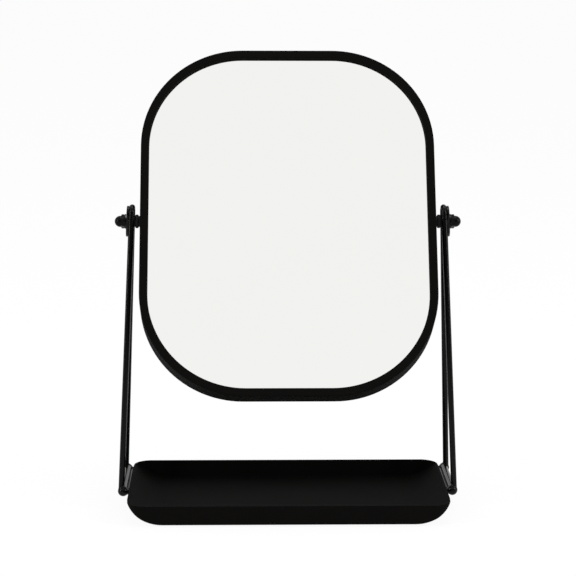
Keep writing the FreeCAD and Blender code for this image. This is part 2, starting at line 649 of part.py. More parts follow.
def add_cap_nut():
    """A hexagon, a collar and a dome from one bar, with a blind bore for the bolt."""
    shell = add_body("cap_nut_shell")
    sketch = add_sketch(shell, "cap_nut_profile", "XZ_Plane")
    start = number("fits.washer_end")
    shoulder = number("fits.nut_shoulder")
    dome_start = number("fits.nut_dome_start")
    bevel = number("dims.nut_bevel")
    flats = number("fits.nut_flat_radius")
    corner = number("fits.nut_corner")
    dome = number("fits.nut_dome_radius")
    face = line(sketch, (start, 0), (start, flats))
    near = line(sketch, (start, flats), (start + bevel, corner))
    side = line(sketch, (start + bevel, corner), (shoulder - bevel, corner))
    far = line(sketch, (shoulder - bevel, corner), (shoulder, flats))
    step = line(sketch, (shoulder, flats), (shoulder, dome))
    collar = line(sketch, (shoulder, dome), (dome_start, dome))
    cap = arc(sketch, (dome_start, 0), dome, 0, RIGHT_ANGLE)
    axis = line(sketch, (dome_start + dome, 0), (start, 0))
    chain = (axis, face, near, side, far, step, collar)
    for first, second in zip(chain, chain[1:]):
        constrain(sketch, "Coincident", first, END, second, START)
    constrain(sketch, "Coincident", collar, END, cap, END)
    constrain(sketch, "Coincident", cap, START, axis, START)
    constrain(sketch, "PointOnObject", axis, START, ACROSS_AXIS)
    constrain(sketch, "PointOnObject", axis, END, ACROSS_AXIS)
    constrain(sketch, "PointOnObject", cap, CENTRE, ACROSS_AXIS)
    constrain(sketch, "Vertical", face)
    constrain(sketch, "Vertical", step)
    constrain(sketch, "Vertical", cap, CENTRE, collar, END)
    constrain(sketch, "Horizontal", side)
    constrain(sketch, "Horizontal", collar)
    dimension(sketch, "DistanceX", ORIGIN, START, face, START, size="fits.washer_end")
    dimension(sketch, "DistanceX", near, START, near, END, size="dims.nut_bevel")
    dimension(sketch, "DistanceX", far, START, far, END, size="dims.nut_bevel")
    dimension(sketch, "DistanceX", ORIGIN, START, step, START, size="fits.nut_shoulder")
    dimension(sketch, "DistanceX", ORIGIN, START, cap, CENTRE, size="fits.nut_dome_start")
    dimension(sketch, "DistanceY", ORIGIN, START, face, END, size="fits.nut_flat_radius")
    dimension(sketch, "DistanceY", ORIGIN, START, side, START, size="fits.nut_corner")
    dimension(sketch, "DistanceY", ORIGIN, START, far, END, size="fits.nut_flat_radius")
    dimension(sketch, "Radius", cap, size="fits.nut_dome_radius")
    revolve(shell, "cap_nut_turned", sketch)
    place(shell, z="dims.pivot_height")
    bar = doc.addObject("Part::Prism", "cap_nut_bar")
    bar.Polygon = 6
    bar.Placement = Placement(Vector(), Rotation(Vector(0, 1, 0), 90))
    bind(bar, Circumradius="fits.nut_corner", Height="fits.nut_length")
    place(bar, x="fits.washer_end", z="dims.pivot_height")
    blank = boolean("Common", "cap_nut_blank", bar, shell)
    bore = doc.addObject("Part::Cylinder", "cap_nut_bore")
    bore.Placement = Placement(Vector(), Rotation(Vector(0, 1, 0), 90))
    bind(bore, Radius="fits.bolt_hole_radius", Height="fits.bolt_end - fits.washer_end")
    place(bore, x="fits.washer_end", z="dims.pivot_height")
    return boolean("Cut", "right_cap_nut", blank, bore)


# ---- mirror ----------------------------------------------------------------------------------

def lean_back(item):
    """Put a piece in the mirror's own frame: origin in its middle, Y through it, Z up it."""
    item.Placement = Placement(Vector(), Rotation(Vector(1, 0, 0), -1))
    place(item, y="fits.mirror_y", z="fits.mirror_z")
    item.setExpression("Placement.Rotation.Angle", "-dims.mirror_tilt")


def front_sketch(body, name, level):
    """A sketch across the mirror, at a size counted from its middle towards the back."""
    return add_sketch(body, name, "XZ_Plane", shift=f"-{level}")


def outline(body, name, level, kind):
    sketch = front_sketch(body, name, level)
    rounded_rectangle(sketch, f"outlines.{kind}_width", f"outlines.{kind}_height",
                      f"outlines.{kind}_corner")
    return sketch


def add_rim():
    """A pressed steel hoop: outer wall, flat face and a short wall that the glass bears on."""
    body = add_body("mirror_rim")
    blank = front_sketch(body, "rim_outline", "fits.rim_front")
    rounded_rectangle(blank, "dims.mirror_width", "dims.mirror_height", "dims.mirror_corner")
    pad(body, "rim_blank", blank, "dims.rim_depth", reverse=True)
    pocket(body, "rim_opening", outline(body, "rim_opening_outline", "fits.rim_front", "opening"))
    behind = outline(body, "rim_behind_outline", "fits.rim_rear", "return_wall")
    pocket(body, "rim_behind_glass", behind, "fits.rim_rear - fits.glass_front", reverse=True)
    channel = outline(body, "rim_channel_outline", "fits.rim_rear", "channel")
    rounded_rectangle(channel, "outlines.return_wall_width", "outlines.return_wall_height",
                      "outlines.return_wall_corner")
    pocket(body, "rim_channel", channel, "dims.rim_depth - dims.rim_sheet", reverse=True)
    holes = add_sketch(body, "rim_pivot_holes", "YZ_Plane")
    circle(holes, "fits.bolt_hole", y="dims.mirror_drop")
    bored = pocket(body, "rim_bore", holes)
    front = number("fits.rim_front")
    half_width = number("dims.mirror_width") / 2
    half_opening = number("outlines.opening_width") / 2

    def on_front(reach):
        def wanted(edge):
            box = edge.BoundBox
            flat = abs(box.YMin - front) < TINY and abs(box.YMax - front) < TINY
            return flat and abs(box.XMax - reach) < TINY and box.XLength < TINY
        return wanted

    rounded = fillet(body, "rim_outer_round", bored, "dims.rim_round", on_front(half_width))
    fillet(body, "rim_inner_round", rounded, "dims.rim_inner_round", on_front(half_opening))
    lean_back(body)
    return body


def add_sheet_piece(name, kind, level, thickness):
    """A flat piece of the mirror's own outline: the glass, the board or the back plate."""
    body = add_body(name)
    sketch = outline(body, f"{name}_outline", level, kind)
    pad(body, f"{name}_blank", sketch, thickness, reverse=True)
    lean_back(body)
    return body


FIXINGS = (
    ("screw_x", "screw_z", (1, 1)),
    ("screw_x", "screw_z", (1, -1)),
    ("screw_x", "screw_z", (-1, 1)),
    ("screw_x", "screw_z", (-1, -1)),
    (None, "screw_top", (1, 1)),
    (None, "screw_top", (1, -1)),
)


def fixing_circles(sketch, diameter):
    for across, up, signs in FIXINGS:
        circle(sketch, diameter, across and f"fits.{across}", f"fits.{up}", signs)


def add_back_plate():
    body = add_sheet_piece("back_plate", "back", "fits.back_front", "dims.back_thickness")
    holes = front_sketch(body, "back_plate_holes", "fits.back_front")
    fixing_circles(holes, "fits.screw_hole")
    pocket(body, "back_plate_drilled", holes)
    return body


def add_lugs():
    """Small blocks welded inside the rim wall, each tapped for one back screw."""
    lugs = []
    for index, (across, _, signs) in enumerate(FIXINGS):
        lug = doc.addObject("Part::Box", f"lug_block_{index}")
        long_side = across is not None
        if long_side:
            length, height = "dims.lug_reach", "dims.lug_width"
            middle_x, middle_z = f"{signs[0]} * fits.lug_middle", f"{signs[1]} * fits.screw_z"
        else:
            length, height = "dims.lug_width", "dims.lug_reach"
            middle_x, middle_z = "0", f"{signs[1]} * fits.lug_middle_top"
        bind(lug, Length=length, Width="dims.lug_thickness", Height=height)
        place(lug, f"{middle_x} - {length} / 2", "fits.lug_front", f"{middle_z} - {height} / 2")
        lugs.append(lug)
    blocks = group("lug_blocks", lugs)
    threads = add_body("lug_threads")
    sketch = front_sketch(threads, "lug_thread_circles", "fits.lug_front")
    fixing_circles(sketch, "dims.screw_diameter")
    threads.AllowCompound = True
    pad(threads, "lug_thread_length", sketch, "dims.lug_thickness", reverse=True)
    lugs_node = boolean("Cut", "rim_lugs", blocks, threads)
    lean_back(lugs_node)
    return lugs_node


def add_back_screws():
    """Pan-headed screws whose heads sit on the back plate."""
    heads = add_body("back_screws")
    heads.AllowCompound = True
    disc = front_sketch(heads, "screw_head_circles", "fits.back_rear")
    fixing_circles(disc, "dims.screw_head")
    top = pad(heads, "screw_heads", disc, "dims.screw_head_thickness", reverse=True)
    level = number("fits.back_rear") + number("dims.screw_head_thickness")
    fillet(
        heads, "screw_head_rounds", top, "dims.screw_head_round",
        lambda edge: abs(edge.BoundBox.YMin - level) < TINY,
    )
    shanks = front_sketch(heads, "screw_shank_circles", "fits.back_rear")
    fixing_circles(shanks, "dims.screw_diameter")
    pad(heads, "screw_shanks", shanks, "dims.screw_length")
    lean_back(heads)
    return heads


# ---- assembly --------------------------------------------------------------------------------

def check_document():
    for item in doc.Objects:
        if "Invalid" in item.State or "Error" in item.State:
            raise RuntimeError(f"{item.Label} failed: {item.State}")


def write_pieces(pieces):
    for piece in pieces:
        shape = piece.Shape
        if shape.isNull() or not shape.isValid() or not shape.Solids:
            raise RuntimeError(f"{piece.Label} has no valid solid")
        shape.exportStep(f"parts/{piece.Label}.step")
        print(f"{piece.Label:28s} solids {len(shape.Solids)} volume {shape.Volume:12.1f}")


def main():
    add_sheet("dims", SIZES)
    add_sheet("fits", [(alias, formula, "") for alias, formula in FITS])
    add_sheet("outlines", outline_rows())
    doc.recompute()
    tray_outside, tray_shell = add_tray()
    pieces = [tray_shell, *add_foot_pads()]
    hairpin = add_hairpin()
    base_rod = add_base_rod(hairpin)
    right = [hairpin, base_rod, add_pivot_plate()]
    for row, sign in (("front", "-"), ("rear", "")):
        right.append(add_corner_ball(row, sign, hairpin, base_rod, tray_outside))
    right += [add_pivot_bolt(), add_spacer_bush(), add_washer(), add_cap_nut()]
    left = [mirrored(piece.Label.replace("right", "left"), piece) for piece in right]
    pieces += right + left
    pieces.append(add_rim())
    pieces.append(add_sheet_piece("mirror_glass", "glass", "fits.glass_front", "dims.glass_thickness"))
    pieces.append(add_sheet_piece("packing_board", "board", "fits.glass_rear", "fits.board_thickness"))
    pieces += [add_back_plate(), add_lugs(), add_back_screws()]
    doc.recompute()
    check_document()
    write_pieces(pieces)


main()
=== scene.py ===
"""A tilting table mirror on a tray: its finishes, weld fillets, screws, rim, glass and back plate.

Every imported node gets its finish. The screws, the rim, the glass and the back plate are drawn anew and
stand for their nodes, and a plain white studio and the camera are set up round the mirror.

Metres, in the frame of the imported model: X to the right, Y to the back, Z up, and the origin on
the table below the axis that the mirror tilts about.
"""

import json
import logging
import math
from collections.abc import Callable, Sequence
from dataclasses import dataclass, field
from enum import Enum
from typing import Any

import bmesh
import bpy
from mathutils import Matrix, Vector

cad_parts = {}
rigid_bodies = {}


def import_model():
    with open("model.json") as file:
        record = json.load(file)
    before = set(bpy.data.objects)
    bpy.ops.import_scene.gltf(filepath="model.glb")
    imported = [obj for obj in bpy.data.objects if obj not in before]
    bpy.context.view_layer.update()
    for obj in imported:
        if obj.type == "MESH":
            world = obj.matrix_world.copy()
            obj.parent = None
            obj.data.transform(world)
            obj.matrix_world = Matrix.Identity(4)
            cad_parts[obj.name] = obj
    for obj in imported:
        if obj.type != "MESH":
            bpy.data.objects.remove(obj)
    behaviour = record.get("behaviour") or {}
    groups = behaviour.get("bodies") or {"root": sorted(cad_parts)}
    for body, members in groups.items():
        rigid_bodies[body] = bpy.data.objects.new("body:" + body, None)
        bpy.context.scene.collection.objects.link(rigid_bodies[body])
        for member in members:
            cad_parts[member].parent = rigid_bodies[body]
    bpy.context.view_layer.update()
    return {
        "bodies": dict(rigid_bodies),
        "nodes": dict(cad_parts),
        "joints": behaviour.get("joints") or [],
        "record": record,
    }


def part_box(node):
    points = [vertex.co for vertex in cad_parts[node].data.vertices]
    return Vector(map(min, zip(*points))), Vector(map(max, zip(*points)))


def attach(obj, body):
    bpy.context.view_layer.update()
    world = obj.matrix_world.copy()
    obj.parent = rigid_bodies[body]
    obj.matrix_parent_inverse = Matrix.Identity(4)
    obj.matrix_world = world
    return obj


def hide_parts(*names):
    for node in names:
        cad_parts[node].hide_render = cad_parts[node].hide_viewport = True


LOG = logging.getLogger("table_mirror")
MM = 0.001
TILT = math.radians(26.9)  # how far the mirror leans back at rest
NOISE_MEAN = 0.5  # the middle of a noise's range

Colour = tuple[float, float, float]
Place = tuple[float, float, float]
Point = tuple[float, float]
Settings = dict[str, Any] | None


class Side(Enum):
    """The two ends of the tray, by the sign of X."""

    LEFT = -1
    RIGHT = 1


class Row(Enum):
    """The two legs of a loop, by the sign of Y."""

    FRONT = -1
    REAR = 1


# ---- shader graphs ---------------------------------------------------------------------------


class Wire:
    """A value in a shader graph that Python's operators turn into Math nodes."""

    def __init__(self, graph: "Graph", socket: bpy.types.NodeSocket) -> None:
        """Wrap one output socket of a graph.

        Args:
            graph: The graph that the socket belongs to.
            socket: The output socket.
        """
        self.graph = graph
        self.socket = socket

    def combine(self, operation: str, *others: "Wire | float") -> "Wire":
        """Feed this value and others to one Math node.

        Args:
            operation: The Math node's operation.
            others: The values or numbers of its next inputs.

        Returns:
            The node's result.
        """
        return self.graph.math(operation, self, *others)

    def __add__(self, other: "Wire | float") -> "Wire":
        """Add."""
        return self.combine("ADD", other)

    def __sub__(self, other: "Wire | float") -> "Wire":
        """Subtract."""
        return self.combine("SUBTRACT", other)

    def __rsub__(self, other: "Wire | float") -> "Wire":
        """Subtract from a number."""
        return self.graph.math("SUBTRACT", other, self)

    def __mul__(self, other: "Wire | float") -> "Wire":
        """Multiply."""
        return self.combine("MULTIPLY", other)

    def __pow__(self, other: "Wire | float") -> "Wire":
        """Raise to a power."""
        return self.combine("POWER", other)

    __radd__ = __add__
    __rmul__ = __mul__


class Graph:
    """A material's or world's node tree, emptied and filled again."""

    def __init__(self, owner: bpy.types.Material | bpy.types.World) -> None:
        """Start with an empty tree.

        Args:
            owner: The material or world.
        """
        owner.use_nodes = True
        self.tree = owner.node_tree
        self.tree.nodes.clear()

    def node(self, kind: str, settings: Settings = None, **inputs: Any) -> bpy.types.Node:
        """Add a node.

        Args:
            kind: The node's type.
            settings: Its properties, set first.
            inputs: What goes into its sockets, by name with _ for a space, or by _0, _1 and so on.

        Returns:
            The node.
        """
        made = self.tree.nodes.new(kind)
        for name, value in (settings or {}).items():
            setattr(made, name, value)
        for name, value in inputs.items():
            key = int(name[1:]) if name[1:].isdigit() else name.replace("_", " ")
            socket = made.inputs[key]
            if isinstance(value, Wire):
                self.tree.links.new(value.socket, socket)
            elif isinstance(value, bpy.types.NodeSocket):
                self.tree.links.new(value, socket)
            else:
                socket.default_value = value
        return made

    def wire(self, kind: str, settings: Settings = None, out: int | str = 0, **inputs: Any) -> Wire:
        """Add a node and take one of its outputs.

        Args:
            kind: The node's type.
            settings: Its properties.
            out: The output's place or name.
            inputs: What goes into its sockets.

        Returns:
            The output.
        """
        return Wire(self, self.node(kind, settings, **inputs).outputs[out])

    def math(self, operation: str, *values: Wire | float) -> Wire:
        """Add a Math node.

        Args:
            operation: Its operation.
            values: What goes into its inputs.

        Returns:
            Its result.
        """
        inputs = {f"_{index}": value for index, value in enumerate(values)}
        return self.wire("ShaderNodeMath", {"operation": operation}, **inputs)

    def place(self) -> Wire:
        """The point's place on its piece, in metres."""
        return self.wire("ShaderNodeTexCoord", out="Object")

    def noise(
        self, scale: float, detail: float = 2.0, roughness: float = 0.5, at: Wire | None = None
    ) -> Wire:
        """Noise from 0 to 1.

        Args:
            scale: Its cells per metre.
            detail: Its octaves.
            roughness: How strong its finer octaves are.
            at: The place that it is read at.

        Returns:
            The noise.
        """
        place = at or self.place()
        return self.wire(
            "ShaderNodeTexNoise", Vector=place, Scale=scale, Detail=detail, Roughness=roughness,
        )

    def blend(self, factor: Wire | float, first: Colour | Wire, second: Colour | Wire) -> Wire:
        """Mix two colours.

        The factor and the colours are inputs 0, 6 and 7 of a Mix node, and the colour is its output 2.

        Args:
            factor: 0 for the first and 1 for the second.
            first: A colour.
            second: A colour.

        Returns:
            The mixed colour.
        """
        ends = [value if isinstance(value, Wire) else (*value, 1.0) for value in (first, second)]
        settings = {"data_type": "RGBA"}
        return self.wire("ShaderNodeMix", settings, out=2, _0=factor, _6=ends[0], _7=ends[1])

    def bump(self, height: Wire, depth: float) -> Wire:
        """A normal that is tilted by a height.

        Args:
            height: The height, from 0 to 1.
            depth: How far 1 stands over 0, in metres.

        Returns:
            The normal.
        """
        return self.wire("ShaderNodeBump", Height=height, Distance=depth, Strength=1.0)

    def surface(self, **inputs: Any) -> None:
        """Finish the graph with a Principled surface.

        Args:
            inputs: What goes into its sockets.
        """
        shader = self.wire("ShaderNodeBsdfPrincipled", **inputs)
        self.node("ShaderNodeOutputMaterial", Surface=shader)


# ---- finishes --------------------------------------------------------------------------------


@dataclass(frozen=True)
class Finish:
    """What every finish has: its name and the record's slot that it stands for."""

    name: str
    slot: str

    def paint(self, graph: Graph) -> None:
        """Fill the material's graph.

        Args:
            graph: The empty graph.
        """
        raise NotImplementedError

    def material(self) -> bpy.types.Material:
        """The Blender material of this finish, made once.

        Returns:
            The material.
        """
        made = bpy.data.materials.get(self.name)
        if made is None:
            made = bpy.data.materials.new(self.name)
            self.paint(Graph(made))
        return made


@dataclass(frozen=True)
class PowderCoat(Finish):
    """Black powder coat: a fine orange peel with a slightly uneven sheen."""

    colour: Colour = (0.0023, 0.0021, 0.0019)
    worn: Colour = (0.0043, 0.0040, 0.0037)
    specular: float = 0.024
    roughness: float = 0.70
    cloud_sheen: float = 0.08
    grain_sheen: float = 0.1
    cloud_tint: float = 0.6
    grain_tint: float = 0.3
    peel_scale: float = 900.0
    peel_depth: float = 6e-6
    peel_share: float = 0.8
    grain_finer: float = 6.0
    cloud_scale: float = 30.0

    def paint(self, graph: Graph) -> None:
        """Fill the material's graph.

        Args:
            graph: The empty graph.
        """
        peel = graph.noise(self.peel_scale, detail=3.0)
        grain = graph.noise(self.peel_scale * self.grain_finer, detail=1.0)
        cloud = graph.noise(self.cloud_scale, detail=4.0)
        height = peel * self.peel_share + grain * (1 - self.peel_share)
        tint = cloud * self.cloud_tint + grain * self.grain_tint
        sheen = self.roughness + (cloud - NOISE_MEAN) * self.cloud_sheen
        graph.surface(
            Base_Color=graph.blend(tint, self.colour, self.worn),
            Roughness=sheen + (grain - NOISE_MEAN) * self.grain_sheen,
            Specular_IOR_Level=self.specular,
            Normal=graph.bump(height, self.peel_depth),
        )


@dataclass(frozen=True)
class BlackenedSteel(Finish):
    """Turned steel, blackened: fine rings about the tilt axis under a thin dark oxide."""

    colour: Colour = (0.0018, 0.0018, 0.0018)
    bare: Colour = (0.0070, 0.0070, 0.0072)
    specular: float = 0.07
    roughness: float = 0.14
    uneven: float = 0.10
    ring_scale: float = 2600.0
    ring_depth: float = 3e-6
    ring_share: float = 0.6
    patch_scale: float = 700.0
    rubbed_contrast: float = 3.0
    rubbed_share: float = 0.8

    def paint(self, graph: Graph) -> None:
        """Fill the material's graph.

        Args:
            graph: The empty graph.
        """
        place = graph.place()
        turned = {"wave_type": "BANDS", "bands_direction": "X", "wave_profile": "SIN"}
        rings = graph.wire(
            "ShaderNodeTexWave", turned, out="Fac",
            Vector=place, Scale=self.ring_scale, Distortion=0.6, Detail=2.0,
        )
        patches = graph.noise(self.patch_scale, detail=4.0, at=place)
        rubbed = (patches ** self.rubbed_contrast) * self.rubbed_share
        height = rings * self.ring_share + patches * (1 - self.ring_share)
        graph.surface(
            Base_Color=graph.blend(rubbed, self.colour, self.bare),
            Roughness=self.roughness + (patches - NOISE_MEAN) * self.uneven,
            Specular_IOR_Level=self.specular,
            Normal=graph.bump(height, self.ring_depth),
        )


@dataclass(frozen=True)
class MattPlastic(Finish):
    """Moulded nylon or rubber with the fine grain of its mould."""

    colour: Colour = (0.006, 0.006, 0.006)
    pale: Colour = (0.011, 0.011, 0.011)
    roughness: float = 0.6
    uneven: float = 0.15
    grain_scale: float = 3500.0
    grain_depth: float = 8e-6
    cloud_scale: float = 120.0
    cloud_share: float = 0.7
    specular: float = 0.15

    def paint(self, graph: Graph) -> None:
        """Fill the material's graph.

        Args:
            graph: The empty graph.
        """
        grain = graph.noise(self.grain_scale, detail=3.0, roughness=0.6)
        cloud = graph.noise(self.cloud_scale, detail=3.0)
        tint = cloud * self.cloud_share + grain * (1 - self.cloud_share)
        graph.surface(
            Base_Color=graph.blend(tint, self.colour, self.pale),
            Roughness=self.roughness + (grain - NOISE_MEAN) * self.uneven,
            Specular_IOR_Level=self.specular,
            Normal=graph.bump(grain, self.grain_depth),
        )


@dataclass(frozen=True)
class SilveredGlass(Finish):
    """A silvered mirror with a trace of wiped haze."""

    colour: Colour = (0.895, 0.893, 0.876)
    haze: Colour = (0.880, 0.878, 0.861)
    polish: float = 0.006
    smear: float = 0.012
    cloud_scale: float = 14.0
    wipe_scale: float = 60.0

    def paint(self, graph: Graph) -> None:
        """Fill the material's graph.

        Args:
            graph: The empty graph.
        """
        cloud = graph.noise(self.cloud_scale, detail=5.0, roughness=0.6)
        wipe = graph.noise(self.wipe_scale, detail=3.0)
        graph.surface(
            Base_Color=graph.blend(cloud, self.colour, self.haze),
            Metallic=1.0,
            Roughness=self.polish + wipe * cloud * self.smear,
        )


@dataclass(frozen=True)
class PressedFibre(Finish):
    """Pressed board: short fibres that lie every way, with darker and paler flecks."""

    colour: Colour = (0.30, 0.27, 0.22)
    fleck: Colour = (0.16, 0.13, 0.10)
    roughness: float = 0.85
    uneven: float = 0.2
    specular: float = 0.2
    fibre_scale: float = 420.0
    fibre_depth: float = 40e-6
    fibre_share: float = 0.7
    warp_scale: float = 160.0
    strand_finer: float = 1.6
    strand_width: float = 6.0
    strand_shade: float = 0.2
    fleck_share: float = 0.05

    def paint(self, graph: Graph) -> None:
        """Fill the material's graph.

        Args:
            graph: The empty graph.
        """
        place = graph.place()
        warp = graph.noise(self.warp_scale, detail=3.0, at=place)
        fibre = graph.noise(self.fibre_scale, detail=5.0, roughness=0.7, at=place)
        strands = graph.wire(
            "ShaderNodeTexVoronoi", {"feature": "DISTANCE_TO_EDGE"},
            Vector=place, Scale=self.fibre_scale * self.strand_finer,
        )
        lines = graph.math("MINIMUM", strands * self.strand_width, 1.0)
        rest = 1 - self.fibre_share
        tint = fibre * self.fibre_share + warp * rest - lines * self.strand_shade + self.fleck_share
        height = fibre * self.fibre_share + lines * rest
        graph.surface(
            Base_Color=graph.blend(tint, self.colour, self.fleck),
            Roughness=self.roughness + (fibre - NOISE_MEAN) * self.uneven,
            Specular_IOR_Level=self.specular,
            Normal=graph.bump(height, self.fibre_depth),
        )


@dataclass(frozen=True)
class Palette:
    """Every finish on the mirror."""

    coat: Finish = PowderCoat("matt_black_coat", "black_coat")
    rod_coat: Finish = PowderCoat(
        "satin_black_rod_coat", "black_coat", colour=(0.0017, 0.0016, 0.0015),
        worn=(0.0031, 0.0030, 0.0028), specular=0.11, roughness=0.14, peel_depth=3e-6,
    )
    steel: Finish = BlackenedSteel("blackened_steel", "black_steel")
    nylon: Finish = MattPlastic("black_nylon_bush", "black_nylon")
    rubber: Finish = MattPlastic(
        "black_foot_rubber", "pad_rubber", colour=(0.010, 0.010, 0.010), pale=(0.016, 0.016, 0.016),
        roughness=0.78, grain_scale=2200.0, grain_depth=15e-6,
    )
    mirror: Finish = SilveredGlass("silvered_mirror_glass", "silvered_glass")
    board: Finish = PressedFibre("grey_packing_board", "grey_board")
    back: Finish = PressedFibre(
        "painted_fibreboard", "black_fibreboard", colour=(0.011, 0.010, 0.010),
        fleck=(0.006, 0.006, 0.006), roughness=0.62, fibre_scale=520.0, fibre_depth=25e-6,
    )
    wire_parts: tuple[str, ...] = ("hairpin", "base_rod", "corner_ball", "pivot_plate")

    def of_node(self, name: str, slot: str) -> Finish:
        """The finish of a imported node.

        Args:
            name: The node's name.
            slot: The record's slot that it takes its finish from.

        Returns:
            The finish.
        """
        if name.endswith(self.wire_parts):
            return self.rod_coat
        return self.by_slot()[slot]

    def by_slot(self) -> dict[str, Finish]:
        """Each finish under its slot's name."""
        every = (self.coat, self.steel, self.nylon, self.rubber, self.mirror, self.board, self.back)
        return {finish.slot: finish for finish in every}


# ---- meshes ----------------------------------------------------------------------------------


@dataclass
class Piece:
    """A mesh under way, with the name and finish that it gets."""

    name: str
    finish: Finish
    body: str
    crease: float = math.pi
    mesh: bmesh.types.BMesh = field(default_factory=bmesh.new)

    def tube(self, path: Sequence[Vector], radii: Sequence[float], sides: int = 12) -> None:
        """Add a round tube with closed ends.

        Args:
            path: The points of its centre line.
            radii: Its radius at each point.
            sides: The faces round it.
        """
        along = (path[-1] - path[0]).normalized()
        across = along.orthogonal().normalized()
        upright = along.cross(across)
        rings = []
        for centre, radius in zip(path, radii):
            ring = []
            for step in range(sides):
                angle = math.tau * step / sides
                offset = across * math.cos(angle) + upright * math.sin(angle)
                ring.append(self.mesh.verts.new(centre + offset * radius))
            rings.append(ring)
        self.skin(rings)
        self.mesh.faces.new(rings[0][::-1])
        self.mesh.faces.new(rings[-1])

    def skin(self, rings: Sequence[Sequence[bmesh.types.BMVert]]) -> None:
        """Join each ring of points to the next with faces.

        Args:
            rings: Rings with as many points each.
        """
        for first, second in zip(rings, rings[1:]):
            for turn in range(len(first)):
                after = (turn + 1) % len(first)
                self.mesh.faces.new((first[turn], first[after], second[after], second[turn]))

    def finished(self) -> bpy.types.Object:
        """Make the object, smooth but for its creases, dressed and riding on its body.

        Returns:
            The object.
        """
        bmesh.ops.recalc_face_normals(self.mesh, faces=self.mesh.faces)
        for face in self.mesh.faces:
            face.smooth = True
        for edge in self.mesh.edges:
            edge.smooth = edge.calc_face_angle(0.0) < self.crease
        data = bpy.data.meshes.new(self.name)
        self.mesh.to_mesh(data)
        self.mesh.free()
        made = bpy.data.objects.new(self.name, data)
        bpy.context.scene.collection.objects.link(made)
        data.materials.append(self.finish.material())
        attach(made, self.body)
        return made


def hollow_fillet(
    start: Vector, corner: Vector, end: Vector, steps: int = 6, hollow: float = 0.8
) -> list[Vector]:
    """A hollow curve that fills the corner between two surfaces.

    Args:
        start: Where the curve leaves the first surface.
        corner: Where the surfaces meet.
        end: Where the curve meets the second surface.
        steps: The runs of the curve.
        hollow: How far the curve is pulled into the corner, from 0 to 1.

    Returns:
        The points along it.
    """
    pull = corner * hollow + (start + end) * ((1 - hollow) / 2)
    curve = []
    for step in range(steps + 1):
        part = step / steps
        curve.append(start * (1 - part) ** 2 + pull * 2 * part * (1 - part) + end * part ** 2)
    return curve


# ---- welds -----------------------------------------------------------------------------------


